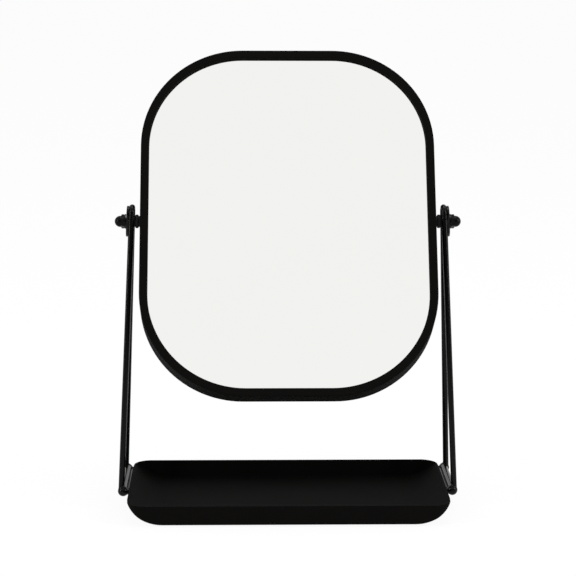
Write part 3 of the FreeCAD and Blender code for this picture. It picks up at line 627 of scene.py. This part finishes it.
@dataclass
class LoopWelds:
    """The fused fillets that join rods, balls, tray and pivot plate of one loop. The weld along the tray
    is also painted shade: a black strip that fills the gap where a shadow falls.
    """

    palette: Palette
    side: Side
    rod: float = 2.0 * MM
    ball: float = 3.6 * MM
    neck: float = 1.6 * MM
    neck_drop: float = 0.6 * MM
    foot_outset: float = 1.2 * MM
    base_rod: float = 2.5 * MM
    tray_end: float = 108.0 * MM
    # the seam along the tray: partly a weld, partly painted shade, a black strip filling the shadowed gap
    seam: float = 1.0 * MM
    seam_drop: float = 0.8 * MM
    bend: float = 4.1 * MM
    crown_above_pivot: float = 9.6 * MM
    plate_half_width: float = 6.0 * MM
    bead: float = 0.62 * MM
    bead_below: float = 9.2 * MM
    bead_above: float = 2.2 * MM
    bead_inset: float = 0.05 * MM
    bead_taper: float = 0.08
    bead_tip: float = 0.25
    bead_ripple: float = 0.07
    bead_waves: int = 10
    bead_steps: int = 40
    seam_ripple: float = 0.05
    seam_waves: int = 21
    seam_steps: int = 60
    seam_reach: float = 0.8
    lap: float = 0.75 * MM
    lap_on_ball: float = 0.8
    lap_under: float = 0.1
    sunk: float = 0.94
    sides: int = 40

    def __post_init__(self) -> None:
        """Read the loop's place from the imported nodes."""
        name = self.side.name.lower()
        low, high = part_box(f"{name}_rear_corner_ball")
        outermost = high.x if self.side is Side.RIGHT else low.x
        self.middle = Vector((outermost - self.side.value * self.ball, 0.0, low.z + self.ball))
        self.half_loop = (low.y + high.y) / 2
        low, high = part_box(f"{name}_base_rod")
        self.line = (low + high) / 2
        self.foot = Vector((self.middle.x + self.side.value * self.foot_outset, 0.0, self.line.z))
        low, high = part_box(f"{name}_hairpin")
        crown_x = low.x + self.rod if self.side is Side.RIGHT else high.x - self.rod
        crown_z = high.z - self.rod
        self.up = Vector((crown_x - self.foot.x, 0.0, crown_z - self.foot.z)).normalized()
        self.out = Vector((self.up.z, 0.0, -self.up.x)) * self.side.value
        self.rise = (crown_z - self.foot.z) / self.up.z

    def leg_direction(self, row: Row) -> Vector:
        """The way a leg runs up from its ball.

        Args:
            row: Which leg.

        Returns:
            A unit vector.
        """
        reach = self.rise - self.bend
        slope = math.atan2(self.half_loop, reach)
        slope -= math.asin(self.bend / math.hypot(self.half_loop, reach))
        inward = Vector((0.0, row.value * math.sin(slope), 0.0))
        return (self.up * math.cos(slope) - inward).normalized()

    def rod_collar(self, piece: Piece, ball: Vector, start: Vector, way: Vector, radius: float) -> None:
        """Add the fillet round a rod where it enters a ball to one side of the ball's middle.

        Args:
            piece: The mesh that takes it.
            ball: The ball's middle.
            start: A point on the rod's axis.
            way: The way that the rod leaves the ball.
            radius: The rod's radius.
        """
        across = way.orthogonal().normalized()
        upright = way.cross(across)
        rings = []
        for step in range(self.sides):
            angle = math.tau * step / self.sides
            outward = across * math.cos(angle) + upright * math.sin(angle)
            edge = start + outward * radius - ball
            along = edge.dot(way)
            inside = self.ball ** 2 - edge.length_squared + along ** 2
            meet = edge + way * (math.sqrt(max(inside, 0.0)) - along)
            top = meet + way * self.lap
            foot = (meet + (outward - way) * self.lap * self.lap_on_ball).normalized() * self.ball
            under = [foot * self.sunk, top - outward * radius * self.lap_under]
            section = [*hollow_fillet(top, meet, foot), *under]
            rings.append([piece.mesh.verts.new(ball + point) for point in section])
        piece.skin([*rings, rings[0]])

    def plate_bead(self, piece: Piece, row: Row) -> None:
        """Add the weld between the pivot plate's long edge and a leg.

        Args:
            piece: The mesh that takes it.
            row: Which leg.
        """
        pivot = self.rise - self.crown_above_pivot
        depth = Vector((0.0, row.value * (self.plate_half_width - self.bead_inset), 0.0))
        path, radii = [], []
        for step in range(self.bead_steps + 1):
            part = step / self.bead_steps
            height = pivot - self.bead_below + part * (self.bead_below + self.bead_above)
            ripple = 1.0 + self.bead_ripple * math.sin(part * math.tau * self.bead_waves)
            near_end = min(part, 1 - part, self.bead_taper)
            taper = math.sin(math.pi * near_end / (2 * self.bead_taper))
            path.append(self.foot + self.out * self.rod * self.sunk + depth + self.up * height)
            radii.append(self.bead * ripple * max(taper, self.bead_tip))
        piece.tube(path, radii)

    def tray_seam(self, piece: Piece) -> None:
        """Add the weld that runs along the gap between the tray's rim and the base rod. It is partly a
        real weld and partly painted shade: a black strip that blocks the light through the gap so it
        reads as shadow.

        Args:
            piece: The mesh that takes it.
        """
        inner = self.side.value * self.tray_end
        outer = self.line.x - self.side.value * self.base_rod
        reach = self.half_loop - self.ball * self.seam_reach
        height = self.line.z - self.seam_drop
        path, radii = [], []
        for step in range(self.seam_steps + 1):
            part = step / self.seam_steps
            ripple = 1.0 + self.seam_ripple * math.sin(part * math.tau * self.seam_waves)
            path.append(Vector(((inner + outer) / 2, reach * (2 * part - 1), height)))
            radii.append(self.seam * ripple)
        piece.tube(path, radii)

    def dress(self) -> bpy.types.Object:
        """Build every fillet of the loop as one piece.

        Returns:
            The object.
        """
        piece = Piece(f"{self.side.name.lower()}_loop_fillets", self.palette.rod_coat, "stand")
        inward = Vector((-self.side.value, 0.0, 0.0))
        for row in Row:
            depth = Vector((0.0, row.value * self.half_loop, 0.0))
            ball = self.middle + depth
            along = Vector((0.0, -row.value, 0.0))
            self.rod_collar(piece, ball, self.foot + depth, self.leg_direction(row), self.rod)
            self.rod_collar(piece, ball, self.line + depth, along, self.base_rod)
            stub = ball - Vector((0.0, 0.0, self.neck_drop))
            self.rod_collar(piece, ball, stub, inward, self.neck)
            self.plate_bead(piece, row)
        # weld along the tray, which also fills its gap with painted shade
        self.tray_seam(piece)
        return piece.finished()


# ---- screws ----------------------------------------------------------------------------------


@dataclass
class BackScrews:
    """Pan-headed screws with a cross recess that hold the back plate."""

    palette: Palette
    tilt: float = TILT
    head: float = 2.7 * MM
    thickness: float = 1.5 * MM
    seat_round: float = 0.08 * MM
    seat_share: float = 0.97
    shoulder: float = 0.6 * MM
    shoulder_steps: int = 6
    shank: float = 1.5 * MM
    shank_length: float = 5.2 * MM
    point_length: float = 0.4 * MM
    point_share: float = 0.8
    recess_arm: float = 1.5 * MM
    recess_width: float = 0.62 * MM
    recess_depth: float = 0.8 * MM
    recess_margin: float = 1.12
    recess_lip: float = 1.03
    recess_floor: float = 0.72
    recess_point: float = 1.15
    lip_depth: float = 0.05 * MM
    arms: int = 4
    steps_per_arm: int = 12
    first_spin: float = 0.35
    next_spin: float = 1.1
    crown_slack: float = 0.01 * MM
    heads_apart: float = 3.0

    def places(self) -> list[Vector]:
        """Find the middle of each head's seat on the back plate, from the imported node.

        Returns:
            The middles.
        """
        node = bpy.data.objects["back_screws"]
        turn = Matrix.Rotation(self.tilt, 4, "X")
        upright = [turn @ vertex.co for vertex in node.data.vertices]
        rear = max(point.y for point in upright)
        tops = [point for point in upright if rear - point.y < self.crown_slack]
        clusters: list[list[Vector]] = []
        for point in tops:
            for cluster in clusters:
                if (cluster[0] - point).length < self.heads_apart * self.head:
                    cluster.append(point)
                    break
            else:
                clusters.append([point])
        back = turn.inverted()
        seats = []
        for cluster in clusters:
            low = Vector(min(point[axis] for point in cluster) for axis in range(3))
            high = Vector(max(point[axis] for point in cluster) for axis in range(3))
            middle = (low + high) / 2
            seats.append(back @ Vector((middle.x, rear - self.thickness, middle.z)))
        return seats

    def head_profile(self) -> list[Point]:
        """The head's outline from its seat to its crown.

        Returns:
            Points as (along, radius).
        """
        outline = [(0.0, self.head * self.seat_share), (self.seat_round, self.head)]
        for step in range(self.shoulder_steps + 1):
            angle = math.pi / 2 * step / self.shoulder_steps
            outline.append((
                self.thickness - self.shoulder + self.shoulder * math.sin(angle),
                self.head - self.shoulder + self.shoulder * math.cos(angle),
            ))
        return outline

    def cross_radius(self, angle: float, shrink: float) -> float:
        """How far the recess's rim is from the head's middle.

        Args:
            angle: The angle that it is measured at.
            shrink: The size of the recess at that depth, against its size at the top.

        Returns:
            The distance.
        """
        turn = (angle + math.pi / self.arms) % (math.tau / self.arms) - math.pi / self.arms
        half = self.recess_width * shrink / 2
        arm = self.recess_arm * shrink
        inner = half / max(abs(math.sin(turn)), 1e-6)
        return min(arm / math.cos(turn), max(inner, half * math.sqrt(2)))

    def add_head(self, piece: Piece, seat: Vector, way: Vector, spin: float) -> None:
        """Add one head with its recess, and the shank under it.

        Args:
            piece: The mesh that takes it.
            seat: The middle of the head's seat.
            way: The way that the head faces.
            spin: The angle of its recess.
        """
        across = Matrix.Rotation(spin, 3, way) @ way.orthogonal().normalized()
        upright = way.cross(across)
        sides = self.arms * self.steps_per_arm
        angles = [math.tau * step / sides for step in range(sides)]
        top = self.thickness
        point = -self.shank_length
        profile = [
            (point, self.shank * self.point_share), (point + self.point_length, self.shank),
            (0.0, self.shank), *self.head_profile(), (top, self.recess_arm * self.recess_margin),
        ]
        recess = [
            (top, self.recess_lip), (top - self.lip_depth, 1.0),
            (top - self.recess_depth, self.recess_floor),
        ]
        levels = [(along, [radius] * sides) for along, radius in profile]
        for along, shrink in recess:
            levels.append((along, [self.cross_radius(angle, shrink) for angle in angles]))
        rings = []
        for along, radii in levels:
            ring = []
            for angle, radius in zip(angles, radii):
                outward = across * math.cos(angle) + upright * math.sin(angle)
                ring.append(piece.mesh.verts.new(seat + way * along + outward * radius))
            rings.append(ring)
        piece.skin(rings)
        piece.mesh.faces.new(rings[0][::-1])
        middle = piece.mesh.verts.new(seat + way * (top - self.recess_depth * self.recess_point))
        for turn, vertex in enumerate(rings[-1]):
            piece.mesh.faces.new((vertex, rings[-1][(turn + 1) % sides], middle))

    def dress(self) -> bpy.types.Object:
        """Build all the screws as one piece that stands for their node.

        Returns:
            The object.
        """
        piece = Piece("cross_head_screws", self.palette.steel, "mirror")
        way = Vector((0.0, math.cos(self.tilt), -math.sin(self.tilt)))
        for index, seat in enumerate(self.places()):
            self.add_head(piece, seat, way, self.first_spin + self.next_spin * index)
        made = piece.finished()
        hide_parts("back_screws")
        return made


# ---- mirror ----------------------------------------------------------------------------------


@dataclass
class MirrorHead:
    """The pressed rim with its glass and back plate, drawn with the wide curve of their corners.

    Levels run back from the rim's front face and insets run in from its outside. The corners are a little
    tighter at the rear edge than at the front.
    """

    palette: Palette
    tilt: float = TILT
    drop: float = 0.8 * MM
    top_corner: float = 69.0 * MM
    low_corner: float = 71.3 * MM
    tighter_behind: float = 2.2 * MM
    depth: float = 17.0 * MM
    sheet: float = 1.0 * MM
    face: float = 5.5 * MM
    recess: float = 3.2 * MM
    outer_round: float = 1.1 * MM
    inner_round: float = 0.6 * MM
    round_steps: int = 5
    support: float = 0.12 * MM
    glass_thickness: float = 3.0 * MM
    back_thickness: float = 2.5 * MM
    back_recess: float = 1.6 * MM
    corner_steps: int = 28
    corner_support: float = 0.8 * MM
    crease: float = math.radians(35)

    def __post_init__(self) -> None:
        """Read the rim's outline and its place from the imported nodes."""
        low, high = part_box("mirror_rim")
        self.half_width = (high.x - low.x) / 2
        self.half_height = self.upright_height("mirror_rim") / 2
        low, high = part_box("right_pivot_bolt")
        axis = Vector((0.0, 0.0, (low.z + high.z) / 2))
        lean = Matrix.Rotation(-self.tilt, 4, "X")
        self.place = Matrix.Translation(axis) @ lean @ Matrix.Translation((0.0, 0.0, -self.drop))

    def upright_height(self, name: str) -> float:
        """A leaning node's height along the mirror.

        Args:
            name: The node's name.

        Returns:
            The height.
        """
        turn = Matrix.Rotation(self.tilt, 4, "X")
        levels = [(turn @ vertex.co).z for vertex in bpy.data.objects[name].data.vertices]
        return max(levels) - min(levels)

    def inset(self, name: str) -> float:
        """How far a node's outline lies inside the rim's.

        Args:
            name: The node's name.

        Returns:
            The distance.
        """
        low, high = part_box(name)
        return self.half_width - (high.x - low.x) / 2

    def outline(self, piece: Piece, inset: float, level: float) -> list[bmesh.types.BMVert]:
        """A ring of points with the rim's curved corners.

        Args:
            piece: The mesh that takes them.
            inset: How far inside the rim's outside they lie.
            level: How far behind the rim's front.

        Returns:
            The points, in order round the mirror.
        """
        ring = []
        for corner in range(4):
            start = math.pi / 2 * corner
            across = 1 if corner in (0, 3) else -1
            up = 1 if corner in (0, 1) else -1
            radius = self.top_corner if up > 0 else self.low_corner
            radius -= self.tighter_behind * level / self.depth
            middle = Vector((self.half_width - radius, 0.0, self.half_height - radius))
            middle.x *= across
            middle.z *= up
            stations = [(start, -self.corner_support)]
            for step in range(self.corner_steps + 1):
                stations.append((start + math.pi / 2 * step / self.corner_steps, 0.0))
            stations.append((start + math.pi / 2, self.corner_support))
            for angle, slide in stations:
                outward = Vector((math.cos(angle), 0.0, math.sin(angle)))
                onward = Vector((-math.sin(angle), 0.0, math.cos(angle)))
                spot = middle + outward * (radius - inset) + onward * slide
                spot.y = level - self.depth / 2
                ring.append(piece.mesh.verts.new(self.place @ spot))
        return ring

    def section(self) -> list[Point]:
        """The rim's cut, from its rear edge over the face and back inside.

        Returns:
            Points as (inset, level).
        """
        cut = [(0.0, self.depth), (0.0, self.outer_round + self.support)]
        for step in range(self.round_steps + 1):
            turn = math.pi / 2 * step / self.round_steps
            cut.append((
                self.outer_round * (1 - math.cos(turn)),
                self.outer_round * (1 - math.sin(turn)),
            ))
        cut.append((self.outer_round + self.support, 0.0))
        cut.append((self.face - self.inner_round - self.support, 0.0))
        for step in range(self.round_steps + 1):
            turn = math.pi / 2 * step / self.round_steps
            cut.append((
                self.face - self.inner_round * (1 - math.sin(turn)),
                self.inner_round * (1 - math.cos(turn)),
            ))
        cut.append((self.face, self.inner_round + self.support))
        inner = self.face - self.sheet
        cut += [(self.face, self.recess), (inner, self.recess), (inner, self.sheet)]
        cut += [(self.sheet, self.sheet), (self.sheet, self.depth)]
        return cut

    def rim(self) -> bpy.types.Object:
        """Build the rim as a closed hoop.

        Returns:
            The object.
        """
        piece = Piece("pressed_rim", self.palette.coat, "mirror", self.crease)
        rings = [self.outline(piece, inset, level) for inset, level in self.section()]
        piece.skin([*rings, rings[0]])
        made = piece.finished()
        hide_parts("mirror_rim")
        return made

    def plate(
        self, node: str, name: str, finish: Finish, front: float, thickness: float
    ) -> bpy.types.Object:
        """Build a flat piece of the rim's own outline.

        Args:
            node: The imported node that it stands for.
            name: Its name.
            finish: Its finish.
            front: Its front face behind the rim's.
            thickness: Its thickness.

        Returns:
            The object.
        """
        piece = Piece(name, finish, "mirror", self.crease)
        inset = self.inset(node)
        rings = [self.outline(piece, inset, level) for level in (front, front + thickness)]
        piece.skin(rings)
        piece.mesh.faces.new(rings[0])
        piece.mesh.faces.new(rings[1][::-1])
        made = piece.finished()
        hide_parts(node)
        return made

    def glass(self) -> bpy.types.Object:
        """Build the silvered glass."""
        finish = self.palette.mirror
        return self.plate("mirror_glass", "silvered_pane", finish, self.recess, self.glass_thickness)

    def back(self) -> bpy.types.Object:
        """Build the back plate.

        Returns:
            The object.
        """
        finish = self.palette.back
        front = self.depth - self.back_recess - self.back_thickness
        return self.plate("back_plate", "painted_back_plate", finish, front, self.back_thickness)


# ---- studio ----------------------------------------------------------------------------------


@dataclass
class Studio:
    """A pale floor, a white surround and soft lamps."""

    diffuse_level: float = 0.60
    shade: float = 0.9
    shade_front: Point = (-0.25, 0.15)
    shade_low: Point = (0.45, 0.58)
    floor_size: float = 40.0
    floor_colour: Colour = (0.97, 0.97, 0.97)
    floor_glow: float = 0.93
    aim: Place = (0.0, 0.0, 0.15)
    left_place: Place = (-1.6, -0.7, 0.7)
    right_place: Place = (1.6, -0.7, 0.7)
    side_size: Point = (0.18, 1.2)
    side_level: float = 22.0
    top_place: Place = (0.1, 0.1, 1.7)
    top_size: Point = (0.9, 0.6)
    top_level: float = 5.0

    def white_surround(self) -> None:
        """Make the world white to the eye and in reflections, and level as a light."""
        world = bpy.data.worlds.new("white_surround")
        bpy.context.scene.world = world
        graph = Graph(world)
        path = graph.node("ShaderNodeLightPath")
        camera = Wire(graph, path.outputs["Is Camera Ray"])
        seen = self.seen(graph, path)
        shown = seen * (1.0 - self.dim_front(graph) * (1.0 - camera))
        level = shown + (1.0 - seen) * self.diffuse_level
        shader = graph.wire("ShaderNodeBackground", Color=(1.0, 1.0, 1.0, 1.0), Strength=level)
        graph.node("ShaderNodeOutputWorld", Surface=shader)

    def dim_front(self, graph: Graph) -> Wire:
        """How much darker the room in front of the object is, low down.

        Args:
            graph: The world's graph.

        Returns:
            0 where the surround is white, up to the shade.
        """
        towards = graph.wire("ShaderNodeTexCoord", out="Generated")
        parts = graph.node("ShaderNodeSeparateXYZ", Vector=towards)
        ahead = self.fade(graph, parts.outputs["Y"], self.shade_front)
        low = self.fade(graph, parts.outputs["Z"], self.shade_low)
        return ahead * low * self.shade

    @staticmethod
    def fade(graph: Graph, value: bpy.types.NodeSocket, ends: Point) -> Wire:
        """A soft fall from one to nought.

        Args:
            graph: The graph.
            value: What it follows.
            ends: The value where the fall starts and the value where it ends.

        Returns:
            From 1 to 0.
        """
        start, end = ends
        smooth = {"interpolation_type": "SMOOTHSTEP"}
        return graph.wire("ShaderNodeMapRange", smooth, Value=value, _1=start, _2=end, _3=1.0, _4=0.0)

    @staticmethod
    def seen(graph: Graph, path: bpy.types.Node) -> Wire:
        """One for a ray that shows the surround, in the eye, in gloss or through glass.

        Args:
            graph: The graph.
            path: Its Light Path node.

        Returns:
            0 or 1.
        """
        camera, gloss, through = (
            Wire(graph, path.outputs[name])
            for name in ("Is Camera Ray", "Is Glossy Ray", "Is Transmission Ray")
        )
        return graph.math("MAXIMUM", graph.math("MAXIMUM", camera, gloss), through)

    def floor(self) -> bpy.types.Object:
        """Lay a wide white floor that keeps a faint shadow.

        Returns:
            The object.
        """
        mesh = bmesh.new()
        bmesh.ops.create_grid(mesh, x_segments=2, y_segments=2, size=self.floor_size / 2)
        data = bpy.data.meshes.new("studio_floor")
        mesh.to_mesh(data)
        mesh.free()
        made = bpy.data.objects.new("studio_floor", data)
        bpy.context.scene.collection.objects.link(made)
        material = bpy.data.materials.new("studio_floor_white")
        graph = Graph(material)
        path = graph.node("ShaderNodeLightPath")
        seen = self.seen(graph, path)
        matt = graph.wire("ShaderNodeBsdfDiffuse", Color=(*self.floor_colour, 1.0))
        glow = graph.wire("ShaderNodeEmission", Color=(1.0, 1.0, 1.0, 1.0), Strength=1.0)
        shader = graph.wire("ShaderNodeMixShader", _0=seen * self.floor_glow, _1=matt, _2=glow)
        graph.node("ShaderNodeOutputMaterial", Surface=shader)
        data.materials.append(material)
        return made

    @staticmethod
    def softbox(name: str, place: Place, target: Place, size: Point, level: float) -> None:
        """Add a rectangular lamp.

        Args:
            name: Its name.
            place: Where its middle is.
            target: What it faces.
            size: Its width and height.
            level: Its brightness as seen, where 1 is white.
        """
        lamp = bpy.data.lights.new(name, "AREA")
        lamp.shape = "RECTANGLE"
        lamp.size, lamp.size_y = size
        lamp.energy = level * math.pi * size[0] * size[1]
        made = bpy.data.objects.new(name, lamp)
        bpy.context.scene.collection.objects.link(made)
        made.location = place
        aim = Vector(target) - Vector(place)
        made.rotation_euler = aim.to_track_quat("-Z", "Y").to_euler()

    def light(self) -> None:
        """Set the surround, the floor and the lamps."""
        self.white_surround()
        self.floor()
        self.softbox("left_softbox", self.left_place, self.aim, self.side_size, self.side_level)
        self.softbox("right_softbox", self.right_place, self.aim, self.side_size, self.side_level)
        self.softbox("top_softbox", self.top_place, self.aim, self.top_size, self.top_level)


@dataclass
class Viewpoint:
    """The camera, as it was fitted to the tray, the loops and the rim."""

    frame: float = 576.0
    focal: float = 1868.8
    place: Place = (-0.0310, -1.2460, 0.3980)
    pitch: float = math.radians(-11.32)
    yaw: float = math.radians(1.43)
    roll: float = math.radians(0.22)
    sensor: float = 36.0
    reach: float = 60.0

    def stand(self) -> bpy.types.Object:
        """Put the camera up and make it the scene's.

        Returns:
            The camera.
        """
        forward = Vector((
            math.sin(self.yaw) * math.cos(self.pitch),
            math.cos(self.yaw) * math.cos(self.pitch),
            math.sin(self.pitch),
        ))
        level = Vector((math.cos(self.yaw), -math.sin(self.yaw), 0.0))
        upright = level.cross(forward)
        across = level * math.cos(self.roll) + upright * math.sin(self.roll)
        up = upright * math.cos(self.roll) - level * math.sin(self.roll)
        data = bpy.data.cameras.new("viewpoint")
        data.sensor_width = self.sensor
        data.lens = self.focal / self.frame * self.sensor
        data.clip_end = self.reach
        made = bpy.data.objects.new("viewpoint", data)
        bpy.context.scene.collection.objects.link(made)
        turn = Matrix((across, up, -forward)).transposed().to_4x4()
        made.matrix_world = Matrix.Translation(self.place) @ turn
        bpy.context.scene.camera = made
        return made


# ---- assembly --------------------------------------------------------------------------------


@dataclass
class Dresser:
    """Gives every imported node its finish."""

    palette: Palette

    def dress(self, frame: dict[str, Any]) -> None:
        """Put the finish of each node's slot on it.
        """
        for part in frame["record"]["subparts"]:
            node = frame["nodes"][part["node"]]
            finish = self.palette.of_node(part["node"], part["material_slot"])
            for place in node.material_slots:
                place.material = finish.material()
            LOG.info("%s: %s", node.name, finish.name)


def main() -> None:
    """Set up the camera and the studio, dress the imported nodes, then build and report each piece."""
    logging.basicConfig(level=logging.INFO, format="%(name)s: %(message)s")
    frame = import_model()
    palette = Palette()
    bpy.context.scene.view_settings.view_transform = "Standard"
    Viewpoint().stand()
    Studio().light()
    Dresser(palette).dress(frame)
    head = MirrorHead(palette)
    builders: list[Callable[[], bpy.types.Object]] = [
        LoopWelds(palette, Side.LEFT).dress,
        LoopWelds(palette, Side.RIGHT).dress,
        head.rim,
        head.glass,
        head.back,
        BackScrews(palette).dress,
    ]
    for build in builders:
        made = build()
        LOG.info("%s: %d faces", made.name, len(made.data.polygons))


if __name__ == "__main__":
    main()
